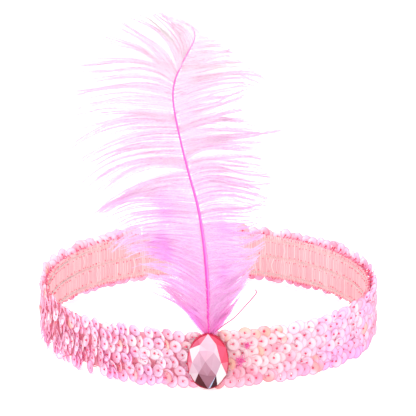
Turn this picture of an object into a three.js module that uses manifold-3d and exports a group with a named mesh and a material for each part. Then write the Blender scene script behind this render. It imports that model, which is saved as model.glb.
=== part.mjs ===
import * as THREE from "three";
import { ConvexGeometry } from "three/addons/geometries/ConvexGeometry.js";
import { mergeVertices } from "three/addons/utils/BufferGeometryUtils.js";
import Module from "manifold-3d";

const wasm = await Module();
wasm.setup();

// A flapper headband: a sequined elastic loop, a faceted oval stone and an ostrich plume at the front.
// Millimetres, +Z up, front towards -Y, resting on the band's lower edge at z = 0.

// Head loop, measured inside the tape
const LOOP_HALF_WIDTH = 71;
const LOOP_HALF_DEPTH = 75.5;
const LOOP_EGG = 0.04;

// Gap between pieces that rest on each other
const FIT_GAP = 0.3;

// Elastic tape with three stitched channels
const TAPE_THICK = 1.2;
const TAPE_WIDTH = 20;
const TAPE_STEPS = 72;
const STITCH_PITCH = 8.2;
const TAPE_DENT = 0.35;

// Sequin trim: staggered rows of overlapping scales
const SEQUIN_DIAMETER = 6;
const SEQUIN_PITCH = 6.4;
const ROW_COUNT = 6;
const ROW_PITCH = 4.08;
const TRIM_BACKING = 1.2;
const SEQUIN_LIFT = 2.3;
const SCALLOP_DEPTH = 1.1;

// Oval stone with a flat back
const GEM_WIDTH = 18;
const GEM_HEIGHT = 25;
const GEM_DEPTH = 6;
const GIRDLE_HEIGHT = 1.5;
const GIRDLE_STEPS = 24;

// Quill, held in a groove behind the stone
const QUILL_DIAMETER = 1.6;
const QUILL_TIP_DIAMETER = 1.1;
const QUILL_FOOT_LENGTH = 18;
const QUILL_SIDES = 8;
const QUILL_STEPS = 22;
const GROOVE_BACKING = 0.9;

// Plume
const PLUME_RISE = 138.5;
const PLUME_SIDE = 15;
const PLUME_LEAN = 7;
const BARB_REACH = 50;
const BARB_SWING = 6;
const LOCK_THICK = 1.5;

// The quill's line above the band, as shares of the plume's rise, side step and lean
const QUILL_LINE = [
  { rise: 0.0, side: 0.02, lean: 0.0 },
  { rise: 0.12, side: 0.0, lean: 0.14 },
  { rise: 0.23, side: -0.07, lean: 0.29 },
  { rise: 0.32, side: -0.17, lean: 0.43 },
  { rise: 0.4, side: -0.3, lean: 0.55 },
  { rise: 0.5, side: -0.55, lean: 0.72 },
  { rise: 0.6, side: -0.78, lean: 0.91 },
  { rise: 0.7, side: -0.96, lean: 1.0 },
  { rise: 0.755, side: -0.99, lean: 1.0 },
  { rise: 0.8, side: -0.91, lean: 1.0 },
  { rise: 0.85, side: -0.71, lean: 0.96 },
  { rise: 0.917, side: -0.41, lean: 0.71 },
  { rise: 0.944, side: -0.37, lean: 0.55 },
  { rise: 0.97, side: -0.46, lean: 0.28 },
  { rise: 1.0, side: -0.94, lean: -0.29 },
];

// Locks of barbs from the band upwards: root as a share of the quill's line, reach out and up and the
// height of the arch as shares of the barb's reach, and the swing to the back as a share of the swing
const LEFT_LOCKS = [
  { root: 0.022, out: 0.16, up: 0.2, arch: 0.02, swing: 0.0 },
  { root: 0.055, out: 0.37, up: 0.27, arch: 0.03, swing: 0.3 },
  { root: 0.092, out: 0.53, up: 0.28, arch: 0.05, swing: -0.3 },
  { root: 0.143, out: 0.68, up: 0.27, arch: 0.07, swing: 0.6 },
  { root: 0.202, out: 0.84, up: 0.31, arch: 0.1, swing: -0.4 },
  { root: 0.261, out: 0.93, up: 0.2, arch: 0.15, swing: 0.8 },
  { root: 0.321, out: 0.9, up: 0.22, arch: 0.18, swing: -0.6 },
  { root: 0.38, out: 1.0, up: 0.12, arch: 0.2, swing: 0.7 },
  { root: 0.435, out: 0.97, up: 0.14, arch: 0.2, swing: -0.3 },
  { root: 0.501, out: 0.96, up: 0.11, arch: 0.22, swing: 0.8 },
  { root: 0.562, out: 0.95, up: 0.22, arch: 0.2, swing: -0.6 },
  { root: 0.63, out: 0.94, up: 0.14, arch: 0.22, swing: 1.0 },
  { root: 0.692, out: 0.85, up: 0.17, arch: 0.2, swing: -0.3 },
  { root: 0.75, out: 0.8, up: 0.12, arch: 0.2, swing: 0.8 },
  { root: 0.806, out: 0.74, up: 0.24, arch: 0.12, swing: -0.5 },
  { root: 0.857, out: 0.68, up: 0.19, arch: 0.1, swing: 0.5 },
  { root: 0.905, out: 0.46, up: 0.13, arch: 0.05, swing: -0.3 },
];
const RIGHT_LOCKS = [
  { root: 0.022, out: 0.17, up: 0.14, arch: 0.0, swing: 0.0 },
  { root: 0.055, out: 0.29, up: 0.25, arch: 0.0, swing: 0.3 },
  { root: 0.092, out: 0.36, up: 0.28, arch: 0.02, swing: 0.6 },
  { root: 0.138, out: 0.45, up: 0.29, arch: 0.03, swing: -0.3 },
  { root: 0.193, out: 0.5, up: 0.26, arch: 0.05, swing: 0.8 },
  { root: 0.252, out: 0.56, up: 0.27, arch: 0.07, swing: -0.5 },
  { root: 0.312, out: 0.63, up: 0.17, arch: 0.1, swing: 0.7 },
  { root: 0.368, out: 0.68, up: 0.18, arch: 0.12, swing: -0.6 },
  { root: 0.421, out: 0.74, up: 0.17, arch: 0.14, swing: 0.9 },
  { root: 0.475, out: 0.8, up: 0.26, arch: 0.12, swing: -0.3 },
  { root: 0.531, out: 0.68, up: 0.2, arch: 0.12, swing: 0.8 },
  { root: 0.59, out: 0.61, up: 0.26, arch: 0.04, swing: -0.6 },
  { root: 0.653, out: 0.78, up: 0.21, arch: 0.1, swing: 0.8 },
  { root: 0.716, out: 0.72, up: 0.18, arch: 0.12, swing: -0.3 },
  { root: 0.777, out: 0.51, up: 0.1, arch: 0.1, swing: 0.6 },
  { root: 0.827, out: 0.38, up: 0.09, arch: 0.06, swing: -0.5 },
  { root: 0.876, out: 0.14, up: 0.05, arch: 0.03, swing: 0.3 },
];

// Stations along a lock: joined to its neighbours up to the split, then on its own to the tip
const LOCK_STATIONS = [
  { along: 0.0, width: 1.0, thick: 0.55, joined: true },
  { along: 0.25, width: 1.0, thick: 1.0, joined: true },
  { along: 0.5, width: 1.0, thick: 1.0, joined: true },
  { along: 0.7, width: 0.78, thick: 0.9, joined: false },
  { along: 0.87, width: 0.46, thick: 0.8, joined: false },
  { along: 1.0, width: 0.0, thick: 0.5, joined: false },
];
const LOCK_EDGE_SHARE = 0.6;

// One scale of the trim, as shares of its pitch, its lift and the scallop at the band's edge
const SCALE = [
  { part: "root", along: 0.0, lift: 0.08, drop: 1.0 },
  { part: "belly", along: 0.28, lift: 0.5, drop: 0.0 },
  { part: "free edge", along: 0.72, lift: 1.0, drop: 0.0 },
];
const VALLEY_SHARE = 0.5;

// Facets of the stone, as shares of its outline
const TABLE_SHARE = 0.4;
const STAR_SHARE = 0.68;
const CROWN_FOLDS = 6;
const GIRDLE_RISE = 1.3;

// Heights and depths worked out from the sizes above
const TRIM_HEIGHT = SEQUIN_DIAMETER + (ROW_COUNT - 1) * ROW_PITCH;
const BAND_MIDDLE = TRIM_HEIGHT / 2;
const TRIM_INSIDE = TAPE_THICK + FIT_GAP;
const TRIM_OUTSIDE = TRIM_INSIDE + TRIM_BACKING + SEQUIN_LIFT;
const SEAT_OUT = TRIM_INSIDE + GROOVE_BACKING + FIT_GAP + QUILL_DIAMETER;
const GEM_BACK_OUT = SEAT_OUT + FIT_GAP;
const LOOP_SHIFT = (GEM_BACK_OUT + GEM_DEPTH - TRIM_OUTSIDE) / 2;
const FRONT_Y = LOOP_SHIFT - LOOP_HALF_DEPTH;
const SEAT_Y = FRONT_Y - SEAT_OUT;
const QUILL_Y = SEAT_Y + QUILL_DIAMETER / 2;

const TAPE_COLOUR = new THREE.Color(0.95, 0.5, 0.52);
const SEQUIN_COLOUR = new THREE.Color(0.95, 0.5, 0.62);
const GEM_COLOUR = new THREE.Color(0.72, 0.3, 0.45);
const FEATHER_COLOUR = new THREE.Color(0.95, 0.5, 0.85);

// The closed curve of the tape's inner face, starting at the front and running to the right
class HeadLoop extends THREE.Curve {
  constructor() {
    super();
    this.arcLengthDivisions = 720;
  }

  getPoint(turn, target = new THREE.Vector3()) {
    const angle = (turn - 0.25) * 2 * Math.PI;
    const depth = LOOP_HALF_DEPTH * (1 - LOOP_EGG * Math.cos(angle));
    return target.set(LOOP_HALF_WIDTH * Math.cos(angle), depth * Math.sin(angle), 0);
  }
}

const headLoop = new HeadLoop();

// A point at a share of the way round the loop, a distance outside it and a height above the surface
function onBand(share, out, height) {
  const wrapped = ((share % 1) + 1) % 1;
  const point = headLoop.getPointAt(wrapped);
  const tangent = headLoop.getTangentAt(wrapped);
  point.x += tangent.y * out;
  point.y += LOOP_SHIFT - tangent.x * out;
  point.z = height;
  return point;
}

function triangleGeometry(points, triangles) {
  const geometry = new THREE.BufferGeometry().setFromPoints(points);
  geometry.setIndex(triangles.flat());
  return geometry;
}

// Joins rings of points into a closed skin, either round on itself or with a cap at each end
function loft(rings, roundOnItself) {
  const size = rings[0].length;
  const points = rings.flat();
  const triangles = [];
  const last = roundOnItself ? rings.length : rings.length - 1;
  for (let i = 0; i < last; i += 1) {
    const here = i * size;
    const next = ((i + 1) % rings.length) * size;
    for (let j = 0; j < size; j += 1) {
      const k = (j + 1) % size;
      triangles.push([here + j, next + j, next + k]);
      triangles.push([here + j, next + k, here + k]);
    }
  }
  if (!roundOnItself) {
    const end = (rings.length - 1) * size;
    for (let j = 1; j < size - 1; j += 1) {
      triangles.push([0, j, j + 1]);
      triangles.push([end, end + j + 1, end + j]);
    }
  }
  return triangleGeometry(points, triangles);
}

function toSolid(geometry) {
  const bare = geometry.index ? geometry.clone() : geometry;
  bare.deleteAttribute("normal");
  bare.deleteAttribute("uv");
  const merged = mergeVertices(bare, 1e-5);
  const vertProperties = new Float32Array(merged.attributes.position.array);
  const triVerts = new Uint32Array(merged.index.array);
  return new wasm.Manifold(new wasm.Mesh({ numProp: 3, vertProperties, triVerts }));
}

function toGeometry(solid) {
  const mesh = solid.getMesh();
  const geometry = new THREE.BufferGeometry();
  geometry.setAttribute("position", new THREE.BufferAttribute(new Float32Array(mesh.vertProperties), 3));
  geometry.setIndex(new THREE.BufferAttribute(new Uint32Array(mesh.triVerts), 1));
  return geometry;
}

function namedMesh(name, geometry, color, roughness, metalness) {
  geometry.computeVertexNormals();
  const material = new THREE.MeshStandardMaterial({ color, roughness, metalness, flatShading: true });
  const mesh = new THREE.Mesh(geometry, material);
  mesh.name = name;
  return mesh;
}

// The tape's section: flat outside, puffed inside between three stitched channels
function elasticTape() {
  const low = BAND_MIDDLE - TAPE_WIDTH / 2;
  const high = BAND_MIDDLE + TAPE_WIDTH / 2;
  const inside = [
    { height: high, dent: 1 },
    { height: BAND_MIDDLE + STITCH_PITCH, dent: 1 },
    { height: BAND_MIDDLE + STITCH_PITCH / 2, dent: 0 },
    { height: BAND_MIDDLE, dent: 1 },
    { height: BAND_MIDDLE - STITCH_PITCH / 2, dent: 0 },
    { height: BAND_MIDDLE - STITCH_PITCH, dent: 1 },
    { height: low, dent: 1 },
  ];
  const rings = [];
  for (let i = 0; i < TAPE_STEPS; i += 1) {
    const share = i / TAPE_STEPS;
    const ring = [onBand(share, TAPE_THICK, low), onBand(share, TAPE_THICK, high)];
    for (const line of inside) {
      ring.push(onBand(share, line.dent * TAPE_DENT, line.height));
    }
    rings.push(ring);
  }
  return namedMesh("elastic_tape", loft(rings, true), TAPE_COLOUR, 0.9, 0);
}

// Where one row's scale stands in a column of the trim
function scaleAt(row, column) {
  const odd = row % 2;
  const entry = SCALE[(column + 2 * odd) % SCALE.length];
  const along = (entry.along + 0.5 * odd) % 1;
  return { along, lift: entry.lift, drop: entry.drop };
}

// The trim's outer lines from the lower edge to the upper one, in one column
function trimLines(column) {
  const bottom = scaleAt(0, column);
  const top = scaleAt(ROW_COUNT - 1, column);
  const lines = [{ along: bottom.along, lift: bottom.lift / 2, height: bottom.drop * SCALLOP_DEPTH }];
  for (let row = 0; row < ROW_COUNT; row += 1) {
    const height = SEQUIN_DIAMETER / 2 + row * ROW_PITCH;
    const here = scaleAt(row, column);
    lines.push({ along: here.along, lift: here.lift, height });
    if (row < ROW_COUNT - 1) {
      const above = scaleAt(row + 1, column);
      const along = (here.along + above.along) / 2;
      const lift = (VALLEY_SHARE * (here.lift + above.lift)) / 2;
      lines.push({ along, lift, height: height + ROW_PITCH / 2 });
    }
  }
  lines.push({ along: top.along, lift: top.lift / 2, height: TRIM_HEIGHT - top.drop * SCALLOP_DEPTH });
  return lines;
}

// The oval seat that the stone is glued to and the groove that holds the quill
function seatCutter() {
  const outline = new THREE.Shape();
  outline.absellipse(0, 0, GEM_WIDTH / 2 + FIT_GAP, GEM_HEIGHT / 2 + FIT_GAP, 0, 2 * Math.PI);
  const depth = GEM_DEPTH + TRIM_OUTSIDE;
  const geometry = new THREE.ExtrudeGeometry(outline, { depth, bevelEnabled: false, curveSegments: 16 });
  geometry.rotateX(Math.PI / 2);
  geometry.translate(0, SEAT_Y, BAND_MIDDLE);
  return toSolid(geometry);
}

function grooveCutter() {
  const width = QUILL_DIAMETER + 2 * FIT_GAP;
  const back = QUILL_Y + QUILL_DIAMETER / 2 + FIT_GAP;
  const front = SEAT_Y - TRIM_OUTSIDE;
  const low = TRIM_HEIGHT - QUILL_FOOT_LENGTH - FIT_GAP;
  const high = TRIM_HEIGHT + FIT_GAP;
  const geometry = new THREE.BoxGeometry(width, back - front, high - low);
  geometry.translate(0, (back + front) / 2, (high + low) / 2);
  return toSolid(geometry);
}

function sequinField() {
  const around = headLoop.getLength() + 2 * Math.PI * (TRIM_INSIDE + TRIM_BACKING);
  const count = Math.round(around / SEQUIN_PITCH);
  const rings = [];
  for (let i = 0; i < count * SCALE.length; i += 1) {
    const scale = Math.floor(i / SCALE.length);
    const lines = trimLines(i % SCALE.length);
    const ring = lines.map((line) => {
      const out = TRIM_INSIDE + TRIM_BACKING + line.lift * SEQUIN_LIFT;
      return onBand((scale + line.along) / count, out, line.height);
    });
    const lowest = lines[0];
    const highest = lines[lines.length - 1];
    ring.push(onBand((scale + highest.along) / count, TRIM_INSIDE, highest.height));
    ring.push(onBand((scale + lowest.along) / count, TRIM_INSIDE, lowest.height));
    rings.push(ring);
  }
  const solid = toSolid(loft(rings, true)).subtract(seatCutter()).subtract(grooveCutter());
  return namedMesh("sequin_field", toGeometry(solid), SEQUIN_COLOUR, 0.25, 0.1);
}

// A corner of the stone: share of the outline, angle round it and height above its back
function gemCorner(share, angle, height) {
  return new THREE.Vector3(share * Math.cos(angle), share * Math.sin(angle), height);
}

// The height at which a point of the outline meets the plane of three corners
function heightOnPlane(angle, a, b, c) {
  const plane = new THREE.Plane().setFromCoplanarPoints(a, b, c);
  const flat = plane.normal.x * Math.cos(angle) + plane.normal.y * Math.sin(angle);
  return -(flat + plane.constant) / plane.normal.z;
}

// Table, stars and kites lie flat, and each girdle facet ends in a dipped arc
function gem() {
  const fold = (2 * Math.PI) / CROWN_FOLDS;
  const starReach = STAR_SHARE * Math.cos(fold / 2);
  const kiteShare = (starReach - TABLE_SHARE) / (1 - TABLE_SHARE);
  const starHeight = GEM_DEPTH + (GIRDLE_HEIGHT - GEM_DEPTH) * kiteShare;
  const corners = [];
  for (let i = 0; i < CROWN_FOLDS; i += 1) {
    const kite = (i + 0.5) * fold;
    corners.push(gemCorner(TABLE_SHARE, kite, GEM_DEPTH));
    corners.push(gemCorner(STAR_SHARE, i * fold, starHeight));
  }
  for (let i = 0; i < GIRDLE_STEPS; i += 1) {
    const angle = (i * 2 * Math.PI) / GIRDLE_STEPS;
    const star = Math.round(angle / fold) * fold;
    const kite = star + (angle < star ? -fold / 2 : fold / 2);
    const starCorner = gemCorner(STAR_SHARE, star, starHeight);
    const kiteCorner = gemCorner(1, kite, GIRDLE_HEIGHT);
    const middle = gemCorner(1, star, GIRDLE_HEIGHT * GIRDLE_RISE);
    corners.push(gemCorner(1, angle, heightOnPlane(angle, starCorner, kiteCorner, middle)));
    corners.push(gemCorner(1, angle, 0));
  }
  const placed = corners.map((corner) => {
    return new THREE.Vector3((corner.x * GEM_WIDTH) / 2, -corner.z, (corner.y * GEM_HEIGHT) / 2);
  });
  const mesh = namedMesh("gem", new ConvexGeometry(placed), GEM_COLOUR, 0.05, 0.3);
  mesh.position.set(0, SEAT_Y - FIT_GAP, BAND_MIDDLE);
  return mesh;
}

const quillLine = new THREE.CatmullRomCurve3(
  QUILL_LINE.map((row) => new THREE.Vector3(
    row.side * PLUME_SIDE,
    QUILL_Y + row.lean * PLUME_LEAN,
    TRIM_HEIGHT + row.rise * PLUME_RISE,
  )),
);

// The quill: a tapered rod whose foot lies in the groove behind the stone
function quillSolid() {
  const frames = quillLine.computeFrenetFrames(QUILL_STEPS, false);
  const ringAt = (centre, across, forth, radius) => {
    const ring = [];
    for (let j = 0; j < QUILL_SIDES; j += 1) {
      const angle = (2 * Math.PI * (j + 0.5)) / QUILL_SIDES;
      const spoke = across.clone().multiplyScalar(Math.cos(angle) * radius);
      spoke.addScaledVector(forth, -Math.sin(angle) * radius);
      ring.push(spoke.add(centre));
    }
    return ring;
  };
  const foot = quillLine.getPointAt(0);
  foot.z = TRIM_HEIGHT - QUILL_FOOT_LENGTH;
  const rings = [ringAt(foot, frames.normals[0], frames.binormals[0], QUILL_DIAMETER / 2)];
  for (let i = 0; i <= QUILL_STEPS; i += 1) {
    const share = i / QUILL_STEPS;
    const diameter = THREE.MathUtils.lerp(QUILL_DIAMETER, QUILL_TIP_DIAMETER, share);
    rings.push(ringAt(quillLine.getPointAt(share), frames.normals[i], frames.binormals[i], diameter / 2));
  }
  return toSolid(loft(rings, false));
}

// The middle line of a lock, arching from its root on the quill to its tip
function lockLine(lock, side) {
  const root = quillLine.getPointAt(lock.root);
  const out = side * lock.out * BARB_REACH;
  const up = lock.up * BARB_REACH;
  const crown = root.clone().add(new THREE.Vector3(out / 2, 0, up / 2 + lock.arch * BARB_REACH));
  const tip = root.clone().add(new THREE.Vector3(out, lock.swing * BARB_SWING, up));
  return new THREE.QuadraticBezierCurve3(root, crown, tip);
}

// One side of the plume: locks joined near the quill that part into pointed fingers
function vaneSolid(locks, side) {
  const points = [];
  const triangles = [];
  const pair = (centre, thick) => {
    const half = new THREE.Vector3(0, (thick * LOCK_THICK) / 2, 0);
    points.push(centre.clone().sub(half), centre.clone().add(half));
    return points.length - 2;
  };
  const face = (a, b, c) => {
    triangles.push([a, b, c]);
    triangles.push([a + 1, c + 1, b + 1]);
  };
  const wall = (a, b) => {
    triangles.push([a, a + 1, b + 1]);
    triangles.push([a, b + 1, b]);
  };
  const lines = locks.map((lock) => lockLine(lock, side));
  const splitAt = LOCK_STATIONS.filter((station) => station.joined).length - 1;
  const spine = lines.map((line) => LOCK_STATIONS.map((station) => line.getPoint(station.along)));
  // The border below lock i at a joined station, halfway between neighbours, and mirrored at both ends
  const border = (i, k) => {
    const above = spine[Math.min(i, locks.length - 1)][k].clone();
    const below = spine[Math.max(i - 1, 0)][k];
    if (i === 0) {
      return above.lerp(spine[1][k], -0.5);
    }
    if (i === locks.length) {
      return above.lerp(spine[locks.length - 2][k], -0.5);
    }
    return above.add(below).multiplyScalar(0.5);
  };
  const shared = [];
  for (let i = 0; i <= locks.length; i += 1) {
    const row = [];
    for (let k = 0; k <= splitAt; k += 1) {
      row.push(pair(border(i, k), LOCK_STATIONS[k].thick * LOCK_EDGE_SHARE));
    }
    shared.push(row);
  }
  for (let i = 0; i < locks.length; i += 1) {
    const halfWidth = border(i + 1, splitAt).sub(border(i, splitAt)).multiplyScalar(0.5);
    let previous = null;
    for (let k = 0; k < LOCK_STATIONS.length; k += 1) {
      const station = LOCK_STATIONS[k];
      const isTip = station.width === 0;
      const middle = pair(spine[i][k], station.thick);
      const edge = (sign, row) => {
        if (station.joined) {
          return row[k];
        }
        if (isTip) {
          return middle;
        }
        const place = spine[i][k].clone().addScaledVector(halfWidth, sign * station.width);
        return pair(place, station.thick * LOCK_EDGE_SHARE);
      };
      const here = { low: edge(-1, shared[i]), middle, high: edge(1, shared[i + 1]) };
      if (previous === null) {
        wall(here.high, here.middle);
        wall(here.middle, here.low);
      } else {
        face(previous.low, here.low, previous.middle);
        face(previous.middle, here.middle, previous.high);
        if (!isTip) {
          face(previous.middle, here.low, here.middle);
          face(previous.high, here.middle, here.high);
        }
        if (!station.joined || i === 0) {
          wall(previous.low, here.low);
        }
        if (!station.joined || i === locks.length - 1) {
          wall(here.high, previous.high);
        }
      }
      previous = here;
    }
  }
  const turned = side > 0 ? triangles : triangles.map((corner) => [corner[0], corner[2], corner[1]]);
  return toSolid(triangleGeometry(points, turned));
}

function ostrichFeather() {
  const solid = quillSolid().add(vaneSolid(LEFT_LOCKS, -1)).add(vaneSolid(RIGHT_LOCKS, 1));
  return namedMesh("ostrich_feather", toGeometry(solid), FEATHER_COLOUR, 0.85, 0);
}

const headband = new THREE.Group();
headband.name = "flapper_feather_headband";
headband.add(elasticTape());
headband.add(sequinField());
headband.add(gem());
headband.add(ostrichFeather());

export default headband;
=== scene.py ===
import math

import bpy
import numpy as np
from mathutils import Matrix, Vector


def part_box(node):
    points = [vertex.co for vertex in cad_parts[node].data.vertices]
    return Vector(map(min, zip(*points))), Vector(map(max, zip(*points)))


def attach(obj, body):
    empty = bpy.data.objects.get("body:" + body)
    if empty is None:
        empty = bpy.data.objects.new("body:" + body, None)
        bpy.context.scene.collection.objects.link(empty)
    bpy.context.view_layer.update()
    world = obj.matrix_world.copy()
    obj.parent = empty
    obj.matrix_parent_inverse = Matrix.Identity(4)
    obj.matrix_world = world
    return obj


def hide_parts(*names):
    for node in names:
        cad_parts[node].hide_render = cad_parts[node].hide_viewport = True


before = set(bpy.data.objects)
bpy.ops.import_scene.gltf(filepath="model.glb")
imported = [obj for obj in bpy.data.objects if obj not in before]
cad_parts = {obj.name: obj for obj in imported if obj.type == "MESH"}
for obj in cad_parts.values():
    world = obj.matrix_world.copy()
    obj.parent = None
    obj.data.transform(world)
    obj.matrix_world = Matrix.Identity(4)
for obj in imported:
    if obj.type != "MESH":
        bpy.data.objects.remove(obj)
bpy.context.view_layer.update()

# Millimetres become metres when a mesh is made
MM = 0.001

# Head loop, the same as in the part
LOOP_HALF_WIDTH = 71.0
LOOP_HALF_DEPTH = 75.5
LOOP_EGG = 0.04
TAPE_THICK = 1.2
TAPE_WIDTH = 20.0
STITCH_PITCH = 8.2
SEQUIN_DIAMETER = 6.0
SEQUIN_PITCH = 3.9
ROW_COUNT = 6
ROW_PITCH = 4.08
TRIM_HEIGHT = SEQUIN_DIAMETER + (ROW_COUNT - 1) * ROW_PITCH
BAND_MIDDLE = TRIM_HEIGHT / 2

# Plume, the same as in the part
QUILL_DIAMETER = 1.6
QUILL_TIP_DIAMETER = 0.55
QUILL_FOOT_LENGTH = 18.0
PLUME_RISE = 138.5
PLUME_SIDE = 15.0
PLUME_LEAN = 7.0
BARB_REACH = 50.0
BARB_SWING = 6.0

gem_low, gem_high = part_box("gem")
tape_low, tape_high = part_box("elastic_tape")
GEM_BACK_Y = gem_high.y / MM
GEM_WIDTH = (gem_high.x - gem_low.x) / MM
GEM_HEIGHT = (gem_high.z - gem_low.z) / MM
GEM_DEPTH = (gem_high.y - gem_low.y) / MM
LOOP_SHIFT = (tape_high.y + tape_low.y) / 2 / MM
QUILL_Y = GEM_BACK_Y + 0.3 + QUILL_DIAMETER / 2

# Camera: a long lens at the photograph's angle
CAMERA_DISTANCE = 2.0
CAMERA_ELEVATION = 16.9
CAMERA_LENS = 389.4
CAMERA_TARGET = Vector((0.0, 0.0, 0.0584))

rng = np.random.default_rng(11)


def srgb(red, green, blue):
    """A screen colour from 0 to 255 as linear light."""
    values = np.array([red, green, blue], float) / 255
    return np.where(values <= 0.04045, values / 12.92, ((values + 0.055) / 1.055) ** 2.4)


def ease(low, high, x):
    """A smooth rise from 0 at low to 1 at high."""
    t = np.clip((x - low) / (high - low), 0, 1)
    return t * t * (3 - 2 * t)


def unit(vectors):
    return vectors / np.maximum(np.linalg.norm(vectors, axis=-1, keepdims=True), 1e-9)


# Camera, floor and lights
def make_camera():
    angle = math.radians(CAMERA_ELEVATION)
    back = Vector((0, -math.cos(angle), math.sin(angle)))
    data = bpy.data.cameras.new("camera")
    data.sensor_width = 36
    data.lens = CAMERA_LENS
    camera = bpy.data.objects.new("camera", data)
    bpy.context.collection.objects.link(camera)
    camera.location = CAMERA_TARGET + back * CAMERA_DISTANCE
    camera.rotation_euler = (math.pi / 2 - angle, 0, 0)
    bpy.context.scene.camera = camera


def make_floor():
    material = new_material(
        "floor_white", Base_Color=(0.93, 0.93, 0.93, 1), Roughness=0.9, Specular_IOR_Level=0.1,
        Emission_Color=(1, 1, 1, 1), Emission_Strength=0.32,
    )
    bpy.ops.mesh.primitive_plane_add(size=8, location=(0, 0, -0.0002))
    floor = bpy.context.object
    floor.name = "floor"
    floor.data.materials.append(material)


def make_area(name, place, size, watts):
    data = bpy.data.lights.new(name, "AREA")
    data.shape = "RECTANGLE"
    data.size, data.size_y = size
    data.energy = watts
    light = bpy.data.objects.new(name, data)
    bpy.context.collection.objects.link(light)
    light.location = place
    aim = Vector((0, 0, 0.06)) - Vector(place)
    light.rotation_euler = aim.to_track_quat("-Z", "Y").to_euler()


def make_lights():
    world = bpy.data.worlds.new("studio")
    world.use_nodes = True
    world.node_tree.nodes["Background"].inputs[0].default_value = (1, 1, 1, 1)
    world.node_tree.nodes["Background"].inputs[1].default_value = 1.0
    bpy.context.scene.world = world
    bpy.context.scene.view_settings.view_transform = "Standard"
    make_area("key_light", (-0.7, -1.0, 1.3), (0.9, 0.9), 10)
    make_area("fill_light", (1.1, -0.9, 0.7), (0.7, 0.9), 9)
    make_area("back_light", (0.2, 1.2, 1.2), (1.2, 0.6), 7)
    make_area("side_light", (-1.5, 0.1, 0.5), (0.6, 0.8), 14)


# Meshes and materials
def blend_rows(at, stops, rows):
    """The rows of a table, blended at places between its stops."""
    return np.stack([np.interp(at, stops, column) for column in np.transpose(rows)], -1)


def table_tint(rows, share, column=1):
    """Tints at shares of a length, from one column of a table of stops."""
    return blend_rows(share, [row[0] for row in rows], [srgb(*row[column]) for row in rows])


def make_piece(name, points, faces, material, tints=None, smooth=True):
    """A mesh piece from points in millimetres, riding on the one body."""
    mesh = bpy.data.meshes.new(name)
    mesh.from_pydata((np.asarray(points, float) * MM).tolist(), [], [list(f) for f in faces])
    mesh.polygons.foreach_set("use_smooth", [smooth] * len(mesh.polygons))
    if tints is not None:
        layer = mesh.color_attributes.new(name="Tint", type="FLOAT_COLOR", domain="POINT")
        rgba = np.ones((len(mesh.vertices), 4), np.float32)
        rgba[:, :3] = tints
        layer.data.foreach_set("color", rgba.ravel())
    mesh.update()
    piece = bpy.data.objects.new(name, mesh)
    bpy.context.collection.objects.link(piece)
    if material is not None:
        mesh.materials.append(material)
    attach(piece, "root")
    return piece


def new_material(name, **values):
    """A Principled material with the given socket values."""
    material = bpy.data.materials.new(name)
    material.use_nodes = True
    shader = material.node_tree.nodes["Principled BSDF"]
    for socket, value in values.items():
        shader.inputs[socket.replace("_", " ")].default_value = value
    return material


def tinted_material(name, scale, spread, **values):
    """A Principled material in the mesh's tints, broken up by a fine noise."""
    material = new_material(name, **values)
    tree = material.node_tree
    shader = tree.nodes["Principled BSDF"]
    tint = tree.nodes.new("ShaderNodeVertexColor")
    tint.layer_name = "Tint"
    place = tree.nodes.new("ShaderNodeTexCoord")
    noise = tree.nodes.new("ShaderNodeTexNoise")
    noise.name = "grain"
    noise.inputs["Scale"].default_value = scale
    noise.inputs["Detail"].default_value = 3
    ramp = tree.nodes.new("ShaderNodeMapRange")
    ramp.inputs["To Min"].default_value = 1 - spread
    ramp.inputs["To Max"].default_value = 1 + spread
    mix = tree.nodes.new("ShaderNodeVectorMath")
    mix.operation = "SCALE"
    tree.links.new(place.outputs["Object"], noise.inputs["Vector"])
    tree.links.new(noise.outputs["Fac"], ramp.inputs["Value"])
    tree.links.new(tint.outputs["Color"], mix.inputs[0])
    tree.links.new(ramp.outputs["Result"], mix.inputs["Scale"])
    tree.links.new(mix.outputs["Vector"], shader.inputs["Base Color"])
    return material


def let_light_through(material, share, deepen=(1, 1, 1)):
    """Mixes in light from behind, in the shader's own colour or a deeper one."""
    tree = material.node_tree
    shader = tree.nodes["Principled BSDF"]
    colour = shader.inputs["Base Color"].links[0].from_socket
    deeper = tree.nodes.new("ShaderNodeVectorMath")
    deeper.operation = "MULTIPLY"
    deeper.inputs[1].default_value = deepen
    clear = tree.nodes.new("ShaderNodeBsdfTranslucent")
    mix = tree.nodes.new("ShaderNodeMixShader")
    mix.inputs["Fac"].default_value = share
    output = tree.nodes["Material Output"]
    tree.links.new(colour, deeper.inputs[0])
    tree.links.new(deeper.outputs["Vector"], clear.inputs["Color"])
    tree.links.new(shader.outputs["BSDF"], mix.inputs[1])
    tree.links.new(clear.outputs["BSDF"], mix.inputs[2])
    tree.links.new(mix.outputs["Shader"], output.inputs["Surface"])


def add_bump(material, strength, distance):
    """Raises the surface by the same noise that breaks up its colour."""
    tree = material.node_tree
    bump = tree.nodes.new("ShaderNodeBump")
    bump.inputs["Strength"].default_value = strength
    bump.inputs["Distance"].default_value = distance
    tree.links.new(tree.nodes["grain"].outputs["Fac"], bump.inputs["Height"])
    tree.links.new(bump.outputs["Normal"], tree.nodes["Principled BSDF"].inputs["Normal"])


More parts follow.
